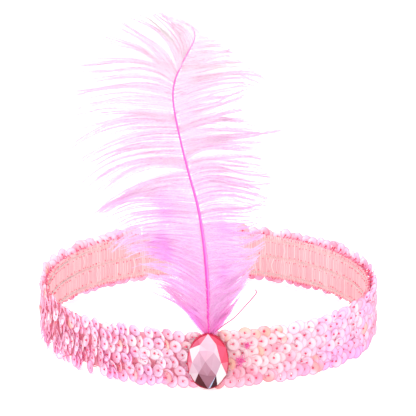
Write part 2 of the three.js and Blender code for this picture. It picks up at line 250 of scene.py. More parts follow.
# The head loop
class HeadLoop:
    """The closed curve of the tape's inner face, by share of its length from the front to the right."""

    def __init__(self, steps=2880):
        turn = np.linspace(0, 1, steps + 1)
        angle = (turn - 0.25) * 2 * np.pi
        self.x = LOOP_HALF_WIDTH * np.cos(angle)
        self.y = LOOP_HALF_DEPTH * (1 - LOOP_EGG * np.cos(angle)) * np.sin(angle)
        length = np.hypot(np.diff(self.x), np.diff(self.y))
        walked = np.concatenate([[0], np.cumsum(length)])
        self.length = walked[-1]
        self.share = walked / walked[-1]

    def place(self, share):
        share = np.mod(share, 1)
        return np.interp(share, self.share, self.x), np.interp(share, self.share, self.y)

    def frame(self, share, out, height):
        """Points outside the loop at a height, with the tangent and the outward normal."""
        share = np.asarray(share, float)
        x, y = self.place(share)
        x1, y1 = self.place(share + 0.0006)
        x0, y0 = self.place(share - 0.0006)
        along = unit(np.stack([x1 - x0, y1 - y0, np.zeros_like(x)], -1))
        normal = np.stack([along[..., 1], -along[..., 0], np.zeros_like(x)], -1)
        point = np.stack([x, y + LOOP_SHIFT, np.zeros_like(x)], -1)
        point = point + normal * np.asarray(out, float)[..., None]
        point[..., 2] += height
        return point, along, normal


loop = HeadLoop()


def ring_faces(columns, size):
    """Quads of a skin that closes round the loop and round its section."""
    i = np.repeat(np.arange(columns), size)
    j = np.tile(np.arange(size), columns)
    here = i * size
    after = ((i + 1) % columns) * size
    k = (j + 1) % size
    return np.stack([here + j, after + j, after + k, here + k], 1)


# Elastic tape: gathered between the three lines of stitches, so that each panel has folds of its own
RIB_COUNT = 470
RIB_STEPS = 3
RIB_HEIGHT = 0.18
RIB_BOW = 0.7
TAPE_DENT = 0.35
# Painted light on the crests of the gathers and painted shade in their valleys
TAPE_LIT_CREST = srgb(254, 226, 224)
TAPE_SHADED_VALLEY = srgb(248, 166, 176)
TAPE_OUTER = srgb(255, 190, 206)
# Painted shade on the inside of the band at the right side
TAPE_SIDE_SHADE = np.array([0.97, 0.84, 0.86])


def make_tape():
    low = BAND_MIDDLE - TAPE_WIDTH / 2
    high = BAND_MIDDLE + TAPE_WIDTH / 2
    inner_heights = np.linspace(high, low, 17)
    nearest = np.abs(inner_heights[:, None] - (BAND_MIDDLE + STITCH_PITCH * np.array([-1, 0, 1]))).min(1)
    channel = TAPE_DENT * np.clip(1 - nearest / (STITCH_PITCH * 0.28), 0, 1)
    edge = TAPE_DENT * (np.abs(inner_heights - BAND_MIDDLE) > TAPE_WIDTH / 2 - 0.4)
    dent = np.maximum(channel, edge)
    panel = np.clip(np.floor((inner_heights - BAND_MIDDLE) / STITCH_PITCH) + 2, 0, 3).astype(int)
    columns = RIB_COUNT * RIB_STEPS
    rib_size = rng.uniform(0.3, 1.0, (RIB_COUNT, 4))
    bow = rng.normal(0, RIB_BOW, (RIB_COUNT, 4))
    bow = bow + np.roll(bow, 1, 0) + np.roll(bow, 2, 0) + np.roll(bow, 3, 0)
    # Painted shade: the crests of some ribs are deeper, which makes darker lines between the gathers
    rib_shade = np.where(rng.random((RIB_COUNT, 4)) < 0.16, 0.6, rng.uniform(0.8, 1.0, (RIB_COUNT, 4)))
    points = []
    tints = []
    for column in range(columns):
        rib = column // RIB_STEPS
        phase = column % RIB_STEPS
        crest = (0.0, 1.0, 0.75)[phase] * rib_size[rib, panel]
        later = phase / RIB_STEPS
        lean = bow[rib, panel] * (1 - later) + bow[(rib + 1) % RIB_COUNT, panel] * later
        lean = lean * np.minimum(nearest / (STITCH_PITCH / 2), 1)
        share = (column + lean) / columns
        out = dent - RIB_HEIGHT * crest * (1 - 0.7 * channel / TAPE_DENT)
        inner, _, _ = loop.frame(share, out + RIB_HEIGHT, inner_heights)
        outer, _, _ = loop.frame(np.full(2, column / columns), TAPE_THICK, np.array([low, high]))
        points.append(np.concatenate([outer, inner]))
        # Painted shade, deeper pink in the valleys and on some ribs, and painted light, paler on the crests
        # and in the stitched channels
        fold_light = np.clip(crest * rib_shade[rib, panel] * 1.1 + 0.25 * channel / TAPE_DENT, 0, 1)[:, None]
        colour = TAPE_SHADED_VALLEY * (1 - fold_light) + TAPE_LIT_CREST * fold_light
        # Painted shade, darker on the inside of the band round the right side
        side = ease(0.12, 0.22, column / columns) * ease(0.38, 0.3, column / columns)
        colour = colour * (1 - side * (1 - TAPE_SIDE_SHADE))
        tints.append(np.concatenate([np.tile(TAPE_OUTER, (2, 1)), colour]))
    size = len(points[0])
    material = tinted_material(
        "gathered_elastic", 2600, 0.1, Roughness=0.85, Sheen_Weight=0.2, Sheen_Roughness=0.5
    )
    add_bump(material, 0.35, 0.00012)
    let_light_through(material, 0.3)
    tape = make_piece(
        "tape", np.concatenate(points), ring_faces(columns, size), material,
        np.concatenate(tints),
    )
    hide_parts("elastic_tape")
    return tape


def tube_mesh(paths, radius, sides, closed_paths=False):
    """Points and faces of many thin tubes at once. paths is (tubes, stations, 3) and radius may vary."""
    tubes, stations, _ = paths.shape
    if closed_paths:
        ahead = np.roll(paths, -1, 1)
        behind = np.roll(paths, 1, 1)
    else:
        ahead = np.concatenate([paths[:, 1:], paths[:, -1:]], 1)
        behind = np.concatenate([paths[:, :1], paths[:, :-1]], 1)
    direction = unit(ahead - behind)
    reference = np.zeros_like(direction)
    reference[..., 1] = 1
    flat = np.abs(direction[..., 1]) > 0.9
    reference[flat] = (0, 0, 1)
    side = unit(np.cross(direction, reference))
    up = np.cross(side, direction)
    angle = 2 * np.pi * np.arange(sides) / sides
    radius = np.broadcast_to(radius, (tubes, stations))[..., None, None]
    spoke = side[:, :, None] * np.cos(angle)[:, None] + up[:, :, None] * np.sin(angle)[:, None]
    points = paths[:, :, None] + spoke * radius
    grid = np.arange(tubes * stations * sides).reshape(tubes, stations, sides)
    after = np.roll(grid, -1, 1) if closed_paths else grid[:, 1:]
    here = grid if closed_paths else grid[:, :-1]
    quads = np.stack([here, after, np.roll(after, -1, 2), np.roll(here, -1, 2)], -1).reshape(-1, 4)
    faces = [quads.tolist()]
    if not closed_paths:
        faces.append(grid[:, 0, ::-1].tolist())
        faces.append(grid[:, -1].tolist())
    return points.reshape(-1, 3), [f for part in faces for f in part]


def catmull_rom(points, samples):
    """A smooth curve through points, sampled evenly along its length."""
    padded = np.concatenate([[2 * points[0] - points[1]], points, [2 * points[-1] - points[-2]]])
    fine = []
    for i in range(len(points) - 1):
        a, b, c, d = padded[i:i + 4]
        for t in np.linspace(0, 1, 24, endpoint=False):
            fine.append(0.5 * (
                2 * b + (c - a) * t + (2 * a - 5 * b + 4 * c - d) * t ** 2
                + (3 * b - a - 3 * c + d) * t ** 3
            ))
    fine.append(points[-1])
    fine = np.array(fine)
    walked = np.concatenate([[0], np.cumsum(np.linalg.norm(np.diff(fine, axis=0), axis=1))])
    return blend_rows(np.linspace(0, 1, samples), walked / walked[-1], fine)


# Chain stitches along the three lines, the knots of the sequins' threads beside them, and loose ends
CHAIN_PITCH = 1.45
CHAIN_THREAD = 0.11
KNOT_PITCH = 1.9
KNOT_RADIUS = 0.21
EDGE_KNOT_PITCH = 1.9
EDGE_KNOT_RADIUS = 0.3
KNOT_GAP = 0.95
KNOTS_LEFT_OUT = 0.22
EDGE_KNOTS_LEFT_OUT = 0.4
LOOSE_THREAD = 0.08
CHAIN_TINT = srgb(216, 208, 206)
KNOT_TINT = srgb(240, 108, 136)
LOOSE_TINT = srgb(246, 196, 206)

# Loose nylon threads under the band at the back: share round the band, how far in, height
LOOSE_ENDS = [
    [(0.69, -0.5, 2.6), (0.655, -1.5, -0.2), (0.62, -2.0, 1.2), (0.585, -2.6, 0.6), (0.55, -1.2, 1.8)],
    [(0.36, -0.5, 2.4), (0.335, -3.0, -0.1), (0.31, -5.0, 0.4), (0.285, -7.0, 0.3), (0.262, -6.0, 2.0)],
    [(0.42, -0.6, 2.0), (0.4, -1.6, 0.1), (0.38, -2.2, 0.8), (0.36, -1.0, 2.6)],
]


def make_chain():
    """A closed stitch for each link of the chain, along each of the three lines."""
    count = round(loop.length / CHAIN_PITCH)
    steps = 8
    turn = 2 * np.pi * np.arange(steps) / steps
    paths = []
    for line in (-1, 0, 1):
        height = BAND_MIDDLE + line * STITCH_PITCH
        for stitch in range(count):
            slant = rng.normal(0, 0.08)
            along = (stitch + 0.5 + 0.46 * np.cos(turn)) / count
            rise = 0.46 * np.sin(turn) + slant * np.cos(turn)
            out = TAPE_DENT - 0.16 - 0.13 * np.cos(turn)
            path, _, _ = loop.frame(along, out, height + rise)
            paths.append(path)
    points, faces = tube_mesh(np.array(paths), CHAIN_THREAD, 4, closed_paths=True)
    material = tinted_material("chain_thread", 1800, 0.08, Roughness=0.6, Sheen_Weight=0.2)
    shade = rng.uniform(0.84, 1.04, len(paths)).repeat(steps * 4)[:, None]
    return make_piece("chain_stitches", points, faces, material, CHAIN_TINT * shade)


def make_knots():
    """The knots on both sides of each line of stitches, and along both edges of the tape."""
    knots, radii = [], []
    steps = np.linspace(-1, 1, 4)
    for line in (-1, 0, 1):
        for side in (-1, 1):
            height = BAND_MIDDLE + line * STITCH_PITCH + side * KNOT_GAP
            knot_count = round(loop.length / KNOT_PITCH)
            for knot in range(knot_count):
                if rng.random() < KNOTS_LEFT_OUT:
                    continue
                centre = (knot + 0.25 * side + rng.normal(0, 0.22)) / knot_count
                reach = rng.uniform(0.25, 0.9)
                out = TAPE_DENT * 0.6 - 0.16 * (1 - steps ** 2) - 0.1
                rise = height + side * (reach * 0.5 * (steps + 1) + rng.normal(0, 0.15))
                path, _, _ = loop.frame(centre + 0.0003 * steps, out, rise)
                knots.append(path)
                radii.append(KNOT_RADIUS * rng.uniform(0.6, 1.2) * np.array([0.5, 1.0, 1.0, 0.35]))
    edge_count = round(loop.length / EDGE_KNOT_PITCH)
    for side in (-1, 1):
        for knot in range(edge_count):
            if rng.random() < EDGE_KNOTS_LEFT_OUT:
                continue
            centre = (knot + rng.normal(0, 0.3)) / edge_count
            height = BAND_MIDDLE + side * (TAPE_WIDTH / 2 + 0.15 + rng.uniform(-0.1, 0.5))
            along = centre + 0.0006 * rng.normal(0, 1) * steps
            path, _, _ = loop.frame(along, 0.9 + 0.5 * steps, height + 0.3 * steps)
            knots.append(path)
            radii.append(EDGE_KNOT_RADIUS * rng.uniform(0.5, 1.1) * np.array([0.6, 1.0, 1.0, 0.5]))
    points, faces = tube_mesh(np.array(knots), np.array(radii), 5)
    material = tinted_material("knot_thread", 1500, 0.1, Roughness=0.55)
    tints = KNOT_TINT * rng.uniform(0.75, 1.15, (len(knots), 1)).repeat(20, 0)
    return make_piece("thread_knots", points, faces, material, tints)


def make_loose_threads():
    """Each loose end as a thin tube through its points."""
    ends = []
    for rows in LOOSE_ENDS:
        table = np.array(rows)
        place, _, _ = loop.frame(table[:, 0], table[:, 1], table[:, 2])
        ends.append(catmull_rom(place, 60))
    points, faces = tube_mesh(np.array(ends), LOOSE_THREAD, 5)
    material = tinted_material("nylon_thread", 600, 0.06, Roughness=0.3, Coat_Weight=0.3)
    tints = np.tile(LOOSE_TINT, (len(points), 1))
    return make_piece("loose_threads", points, faces, material, tints)


# Sequins: cupped discs with a hole, their free edges turned out towards +X at the front
SEQUIN_RADIUS = SEQUIN_DIAMETER / 2
SEQUIN_SIDES = 18
SEQUIN_THICK = 0.1
SEQUIN_OUT = 1.95
SEQUIN_START = 0.36
SHARE_JITTER = 0.002
HEIGHT_JITTER = 0.5
OUTER_ROW_JITTER = 0.45
TILT_JITTER = 0.14
PITCH_JITTER = 0.16
SEQUIN_THREAD_TINT = srgb(246, 70, 114)

# Tilt round the band: share of the way round from the front to the right, degrees
SEQUIN_TILTS = [
    (0, 18), (0.24, 15), (0.31, 3), (0.48, 5), (0.62, 18), (0.74, 11), (0.82, 12), (0.87, 16), (1, 18),
]

# The cup, from the hole to the rim: radius, rise
SEQUIN_CUP = [
    (0.38, 0.0),
    (1.3, 0.04),
    (2.4, 0.18),
    (SEQUIN_RADIUS, 0.4),
]

# Tints round the band: share of the way round from the front to the right, main colour, second colour
SEQUIN_TINTS = [
    (0.00, (255, 232, 240), (255, 244, 240)),
    (0.03, (255, 225, 231), (255, 246, 246)),
    (0.06, (255, 232, 240), (255, 248, 246)),
    (0.09, (254, 226, 244), (255, 242, 248)),
    (0.13, (250, 216, 252), (254, 238, 250)),
    (0.19, (250, 212, 250), (255, 232, 246)),
    (0.25, (255, 212, 232), (252, 220, 242)),
    (0.50, (255, 216, 230), (255, 230, 238)),
    (0.75, (255, 228, 240), (255, 238, 246)),
    (0.84, (255, 230, 244), (255, 240, 249)),
    (0.89, (253, 222, 246), (255, 234, 244)),
    (0.95, (253, 232, 254), (255, 240, 249)),
    (1.00, (255, 232, 240), (255, 244, 240)),
]
SEQUIN_WHITE = srgb(255, 254, 252)
SEQUIN_PEACH = srgb(255, 212, 184)
SEQUIN_PINK = srgb(253, 188, 212)
# Painted shade: a deep pink ring at the rim of each disc, for the shade where the discs overlap
SEQUIN_EDGE_SHADE = srgb(240, 132, 170)
EDGE_SHADE_SHARE = 0.44
LOW_ROW_TINT = np.array([1.0, 0.84, 0.94])


def sequin_tint(share):
    """A colour for one sequin, from its place round the band and from chance."""
    blend = rng.random()
    colour = table_tint(SEQUIN_TINTS, share) * (1 - blend) + table_tint(SEQUIN_TINTS, share, 2) * blend
    chance = rng.random()
    peach = 0.19 + 0.06 * (share < 0.07)
    for limit, other in ((0.16, SEQUIN_WHITE), (peach, SEQUIN_PEACH), (peach + 0.07, SEQUIN_PINK)):
        if chance < limit:
            return 0.3 * colour + 0.7 * other
    return colour * rng.uniform(0.98, 1.05)


def sequin_places():
    """Share round the band, height and row of each sequin."""
    around = loop.length + 2 * math.pi * 2.7
    count = round(around / SEQUIN_PITCH)
    for row in range(ROW_COUNT):
        for i in range(count):
            share = (i + 0.5 * (row % 2) + SEQUIN_START) / count
            yield share, SEQUIN_DIAMETER / 2 + row * ROW_PITCH, row


def under_gem(point):
    """True where the stone or the foot of the plume hides a sequin."""
    if point[1] > 0:
        return False
    wide = point[0] / (GEM_WIDTH / 2 - 2.2)
    high = (point[2] - BAND_MIDDLE) / (GEM_HEIGHT / 2 - 2.2)
    return wide * wide + high * high < 1 or (abs(point[0]) < 3.2 and point[2] > BAND_MIDDLE)


def sequin_axes(along, normal, tilt, pitch, roll):
    """Right, up and facing directions of a disc that turns its right edge out."""
    right = along * math.cos(tilt) + normal * math.sin(tilt)
    facing = normal * math.cos(tilt) - along * math.sin(tilt)
    up = np.array([0, 0, 1.0])
    up, facing = (
        up * math.cos(pitch) + facing * math.sin(pitch),
        facing * math.cos(pitch) - up * math.sin(pitch),
    )
    right, up = right * math.cos(roll) + up * math.sin(roll), up * math.cos(roll) - right * math.sin(roll)
    return right, up, facing


def make_sequins():
    angle = 2 * np.pi * np.arange(SEQUIN_SIDES) / SEQUIN_SIDES
    profile = SEQUIN_CUP + [(r, h - SEQUIN_THICK) for r, h in reversed(SEQUIN_CUP)]
    local = np.array([
        (r * math.cos(a), r * math.sin(a), h) for a in angle for r, h in profile
    ])
    # Painted shade on the outermost ring of each disc
    rim = (np.hypot(local[:, 0], local[:, 1]) > SEQUIN_RADIUS - 0.01)[:, None] * EDGE_SHADE_SHARE
    shell = ring_faces(SEQUIN_SIDES, len(profile))
    rows = [([], [], []) for _ in range(ROW_COUNT)]
    threads = []
    for share, height, row in sequin_places():
        share += rng.normal(0, SHARE_JITTER)
        height += rng.normal(0, HEIGHT_JITTER)
        tilt = math.radians(np.interp(share, *zip(*SEQUIN_TILTS))) + rng.normal(0, TILT_JITTER)
        pitch = rng.normal(0.04, PITCH_JITTER)
        if row in (0, ROW_COUNT - 1):
            height += rng.normal(0, OUTER_ROW_JITTER)
            pitch += 0.1 if row else -0.1
        out = TAPE_THICK + SEQUIN_OUT + rng.normal(0, 0.2)
        centre, along, normal = loop.frame(np.array([share]), np.array([out]), height)
        centre, along, normal = centre[0], along[0], normal[0]
        right, up, facing = sequin_axes(along, normal, tilt, pitch, rng.uniform(-3, 3))
        if under_gem(centre):
            continue
        place = centre + local[:, :1] * right + local[:, 1:2] * up + local[:, 2:] * facing
        if place[:, 2].min() < 0:
            place[:, 2] -= place[:, 2].min()
        swing = rng.uniform(0, 2 * math.pi)
        sheen = (local[:, 0] * math.cos(swing) + local[:, 1] * math.sin(swing)) / SEQUIN_RADIUS
        sheen = ease(-0.7, 0.9, sheen)[:, None]
        colour = sequin_tint(share % 1) * (1 - sheen) + sequin_tint(share % 1) * sheen
        low = max(0, 2 - row) / 2
        colour = colour * (1 - low + low * LOW_ROW_TINT)
        # Painted shade: pinker on the side of each disc that lies under its neighbour, paler towards the
        # edge turned out
        lean = (place - centre) @ along / SEQUIN_RADIUS
        neighbour_shade = np.array([0.0, 0.07, 0.05]) * (lean[:, None] - 0.3)
        points, faces, tints = rows[row]
        faces.append(shell + len(points) * len(local))
        points.append(place)
        tints.append(np.clip(colour * (1 + neighbour_shade), 0, 1) * (1 - rim) + SEQUIN_EDGE_SHADE * rim)
        slim = 1 - 0.55 * ease(0.6, 0.72, share) * ease(0.9, 0.8, share)
        threads.append((centre, along, normal, facing, slim))
    material = tinted_material(
        "iridescent_film", 900, 0.04, Roughness=0.25, Coat_Weight=0.6, Coat_Roughness=0.08, IOR=1.45
    )
    let_light_through(material, 0.5, (1.0, 0.92, 0.96))
    for row, (points, faces, tints) in enumerate(rows):
        sequins = make_piece(
            f"sequin_row_{row + 1}", np.concatenate(points), np.concatenate(faces), material,
            np.concatenate(tints),
        )
        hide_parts("sequin_field")
    return threads


def make_sequin_threads(threads):
    """A crimson knot in each hole, and on some a stitch that leads from it under the next sequin."""
    tape_bottom = BAND_MIDDLE - TAPE_WIDTH / 2 + 0.5
    tape_top = BAND_MIDDLE + TAPE_WIDTH / 2 - 0.5
    paths = []
    for centre, along, normal, facing, _ in threads:
        start = centre + facing * 0.26
        tail = 1.0 if rng.random() < 0.25 else 0.35
        bend = centre - along * 0.5 * tail + facing * 0.22
        end = centre - along * 1.4 * tail - normal * 0.4
        root = centre - normal * 1.7
        root[2] = min(max(root[2], tape_bottom), tape_top)
        paths.append([root, centre - normal * 0.2, start, bend, end])
    paths = np.array(paths)
    radius = np.array([0.1, 0.3, 0.42, 0.18, 0.09]) * np.array([[row[-1]] for row in threads])
    points, faces = tube_mesh(paths, radius, 6)
    shade = rng.uniform(0.8, 1.2, (len(paths), 1)).repeat(30, 0)
    material = tinted_material("crimson_thread", 1500, 0.12, Roughness=0.5)
    make_piece("sequin_threads", points, faces, material, SEQUIN_THREAD_TINT * shade)


# The stone: a table, stars, kites and girdle facets, each with its own tone, the stone's pink with a painted
# reflection of its foil and of the surroundings
TABLE_SHARE = 0.4
GIRDLE_HEIGHT = 1.5
GIRDLE_RISE = 1.3
GIRDLE_PARTS = 4
GEM_TONE = 0.7

# Corners by their direction in degrees from +X towards +Z: right and up as shares of the half width and
# height, and for the rim the direction itself
GEM_CENTRE = (-0.13, 0.12)
TABLE_CORNERS = {
    30: (0.29, 0.43), 90: (-0.02, 0.5), 150: (-0.43, 0.46),
    210: (-0.3, -0.11), 270: (-0.03, -0.4), 330: (0.15, -0.17),
}
STAR_CORNERS = {
    0: (0.63, 0.02), 60: (0.39, 0.67), 120: (-0.38, 0.66),
    180: (-0.76, 0.02), 240: (-0.46, -0.34), 300: (0.39, -0.42),
}
RIM_CORNERS = {
    0: 0, 30: 30, 60: 60, 90: 90, 120: 120, 150: 153,
    180: 180, 210: 205, 240: 229, 270: 270, 300: 298, 330: 332,
}

# Tones by the direction of the facet: the stone's pink with painted reflections of the foil and the white
# surroundings; the whitest and the darkest facets are wholly painted reflection
KITE_PINK_AND_REFLECTION = {
    30: (240, 204, 218), 90: (238, 192, 209), 150: (246, 220, 230),
    210: (206, 164, 184), 270: (172, 114, 134), 330: (212, 170, 190),
}
OUTER_KITE_PINK_AND_REFLECTION = {30: (234, 88, 120), 210: (222, 186, 202), 330: (252, 246, 248)}
STAR_PINK_AND_REFLECTION = {
    0: (214, 170, 190), 60: (238, 192, 210), 120: (242, 198, 214),
    180: (212, 168, 188), 240: (186, 130, 150), 300: (180, 122, 142),
}
TABLE_PINK_AND_REFLECTION = {
    0: (210, 164, 184), 60: (230, 180, 200), 120: (228, 176, 198),
    180: (206, 160, 180), 240: (192, 140, 160), 300: (190, 136, 158),
}
GIRDLE_PINK_AND_REFLECTION = {
    15: (234, 78, 108), 45: (230, 72, 100), 75: (220, 78, 106),
    105: (222, 108, 134), 135: (208, 92, 120), 165: (222, 108, 136),
    195: (230, 138, 162), 225: (230, 204, 214), 255: (92, 20, 34),
    285: (70, 16, 34), 315: (252, 248, 250), 345: (236, 120, 144),
}
GLINT_AT = 285
GLINT_TONE = (206, 222, 255)
RIM_TONE = (186, 34, 66)
RIM_SHARE = 0.955


def gem_corner(share, degrees, height):
    angle = math.radians(degrees)
    return np.array([share * math.cos(angle), share * math.sin(angle), height])


def crown_corner(right, up):
    """A corner of the crown, its height falling from the table to the rim."""
    fall = max(0, (math.hypot(right, up) - TABLE_SHARE) / (1 - TABLE_SHARE))
    return np.array([right, up, GEM_DEPTH + (GIRDLE_HEIGHT - GEM_DEPTH) * fall])


def on_plane(share, degrees, a, b, c):
    """The corner at a share of the outline's reach that lies in the plane of three corners."""
    normal = np.cross(b - a, c - a)
    corner = gem_corner(share, degrees, 0)
    corner[2] = a[2] - (normal[0] * (corner[0] - a[0]) + normal[1] * (corner[1] - a[1])) / normal[2]
    return corner


def make_gem():
    centre = crown_corner(*GEM_CENTRE)
    facets = []
    feet = {}
    for at in STAR_CORNERS:
        before, after, beyond = (at - 30) % 360, at + 30, (at + 60) % 360
        star = crown_corner(*STAR_CORNERS[at])
        next_star = crown_corner(*STAR_CORNERS[beyond])
        low_table = crown_corner(*TABLE_CORNERS[before])
        high_table = crown_corner(*TABLE_CORNERS[after])
        apex = gem_corner(1, RIM_CORNERS[after], GIRDLE_HEIGHT)
        facets.append(([centre, low_table, high_table], TABLE_PINK_AND_REFLECTION[at]))
        facets.append(([low_table, star, high_table], STAR_PINK_AND_REFLECTION[at]))
        facets.append(([high_table, star, next_star], KITE_PINK_AND_REFLECTION[after]))
        facets.append(([star, apex, next_star], OUTER_KITE_PINK_AND_REFLECTION.get(after, KITE_PINK_AND_REFLECTION[after])))
        middle = gem_corner(1, RIM_CORNERS[at], GIRDLE_HEIGHT * GIRDLE_RISE)
        for side in (-1, 1):
            kite_at = RIM_CORNERS[(at + side * 30) % 360]
            sweep = (kite_at - RIM_CORNERS[at] + 180) % 360 - 180
            kite = gem_corner(1, kite_at, GIRDLE_HEIGHT)
            name = (at + side * 15) % 360
            inner, arc, foot = [], [], []
            for part in range(GIRDLE_PARTS + 1):
                degrees = RIM_CORNERS[at] + sweep * part / GIRDLE_PARTS
                share = RIM_SHARE + (1 - RIM_SHARE) * (part == GIRDLE_PARTS)
                inner.append(on_plane(share, degrees, star, kite, middle))
                arc.append(on_plane(1, degrees, star, kite, middle))
                foot.append(gem_corner(1, degrees, 0))
                feet[round(degrees % 360, 2)] = foot[-1]
            if name == GLINT_AT:
                facets.append(([star, *inner[-2:]][::side], GLINT_TONE))
                facets.append(([star, *inner[:-1]][::side], GIRDLE_PINK_AND_REFLECTION[name]))
            else:
                facets.append(([star, *inner][::side], GIRDLE_PINK_AND_REFLECTION[name]))
            for part in range(GIRDLE_PARTS):
                rim = [inner[part], arc[part], arc[part + 1], inner[part + 1]]
                if part == GIRDLE_PARTS - 1:
                    rim = rim[:3]
                facets.append((rim[::side], RIM_TONE))
                wall = [arc[part], foot[part], foot[part + 1], arc[part + 1]]
                facets.append((wall[::side], RIM_TONE))
    facets.append(([feet[turn] for turn in sorted(feet, reverse=True)], (150, 60, 80)))
    points, faces, tints = [], [], []
    for corners, tone in facets:
        faces.append(list(range(len(points), len(points) + len(corners))))
        for corner in corners:
            x, z = corner[0] * GEM_WIDTH / 2, corner[1] * GEM_HEIGHT / 2
            points.append((x, GEM_BACK_Y - corner[2], BAND_MIDDLE + z))
            # Painted light: lighter towards the top of the stone and darker towards the bottom
            tints.append(srgb(*tone) * (GEM_TONE + 0.12 * corner[1]))
    material = tinted_material(
        "foiled_stone", 320, 0.09, Roughness=0.12, Coat_Weight=0.15, Coat_Roughness=0.02, IOR=1.35,
        Specular_IOR_Level=0.2,
    )
    gem = make_piece("stone", points, faces, material, np.clip(tints, 0, 1), smooth=False)
    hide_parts("gem")


# The plume's quill, from the band to the tip: shares of PLUME_RISE, PLUME_SIDE and PLUME_LEAN
QUILL_LINE = [
    (0.0, 0.02, 0.0),
    (0.12, 0.0, 0.14),
    (0.23, -0.07, 0.29),
    (0.32, -0.17, 0.43),
    (0.4, -0.3, 0.55),
    (0.5, -0.55, 0.72),
    (0.6, -0.78, 0.91),
    (0.7, -0.96, 1.0),
    (0.755, -0.99, 1.0),
    (0.8, -0.91, 1.0),
    (0.85, -0.71, 0.96),
    (0.917, -0.41, 0.71),
    (0.944, -0.37, 0.55),
    (0.97, -0.46, 0.28),
    (1.0, -0.94, -0.29),
]

# Strands of each vane from the band upwards: root as a share of the quill, tip out and up as shares of
# BARB_REACH, and the slope in degrees at the root and at the tip
LEFT_STRANDS = [
    (-0.024, 0.31, 0.4, 58, 50),
    (-0.012, 0.33, 0.39, 58, 48),
    (-0.004, 0.36, 0.38, 57, 46),
    (0.008, 0.42, 0.35, 56, 34),
    (0.022, 0.45, 0.33, 54, 22),
    (0.04, 0.46, 0.29, 53, 8),
    (0.07, 0.51, 0.29, 50, 5),
    (0.1, 0.51, 0.24, 45, 0),
    (0.14, 0.61, 0.26, 36, -5),
    (0.165, 0.64, 0.2, 30, -12),
    (0.19, 0.66, 0.15, 24, -20),
    (0.22, 0.67, 0.07, 16, -28),
    (0.245, 0.7, 0.01, 13, -33),
    (0.27, 0.72, -0.05, 10, -36),
    (0.3, 0.75, -0.12, 8, -42),
    (0.325, 0.76, -0.13, 6, -43),
    (0.35, 0.78, -0.14, 6, -43),
    (0.375, 0.85, -0.12, 8, -40),
    (0.4, 0.87, -0.17, 5, -40),
    (0.425, 0.82, -0.21, 5, -36),
    (0.45, 0.75, -0.27, 4, -36),
    (0.475, 0.76, -0.37, -2, -33),
    (0.486, 0.81, -0.31, 22, -52),
    (0.497, 0.8, -0.28, 15, -46),
    (0.515, 0.9, -0.3, 8, -46),
    (0.535, 0.9, -0.29, 6, -45),
    (0.555, 0.88, -0.26, 4, -42),
    (0.573, 0.86, -0.24, 3, -40),
    (0.592, 0.84, -0.29, 2, -45),
    (0.611, 0.83, -0.21, 5, -32),
    (0.63, 0.9, -0.21, 5, -48),
    (0.648, 0.9, -0.03, 8, -6),
    (0.667, 0.86, -0.06, 12, -20),
    (0.688, 0.8, -0.045, 15, -20),
    (0.708, 0.92, -0.02, 24, -10),
    (0.722, 0.84, 0.0, 28, -2),
    (0.734, 0.84, 0.03, 32, -4),
    (0.744, 0.79, 0.07, 40, -6),
    (0.751, 0.82, 0.13, 50, -6),
    (0.758, 0.65, 0.41, 50, 18),
    (0.766, 0.59, 0.45, 56, 14),
    (0.772, 0.56, 0.48, 60, 22),
    (0.779, 0.4, 0.49, 90, 22),
    (0.79, 0.335, 0.465, 96, 26),
    (0.802, 0.27, 0.45, 100, 32),
    (0.815, 0.25, 0.41, 102, 36),
    (0.838, 0.24, 0.35, 96, 38),
    (0.862, 0.25, 0.29, 88, 34),
    (0.885, 0.26, 0.22, 80, 26),
    (0.91, 0.25, 0.15, 66, 20),
    (0.94, 0.2, 0.08, 50, 12),
    (0.97, 0.12, 0.04, 36, 10),
    (1.0, 0.05, 0.02, 30, 20),
]
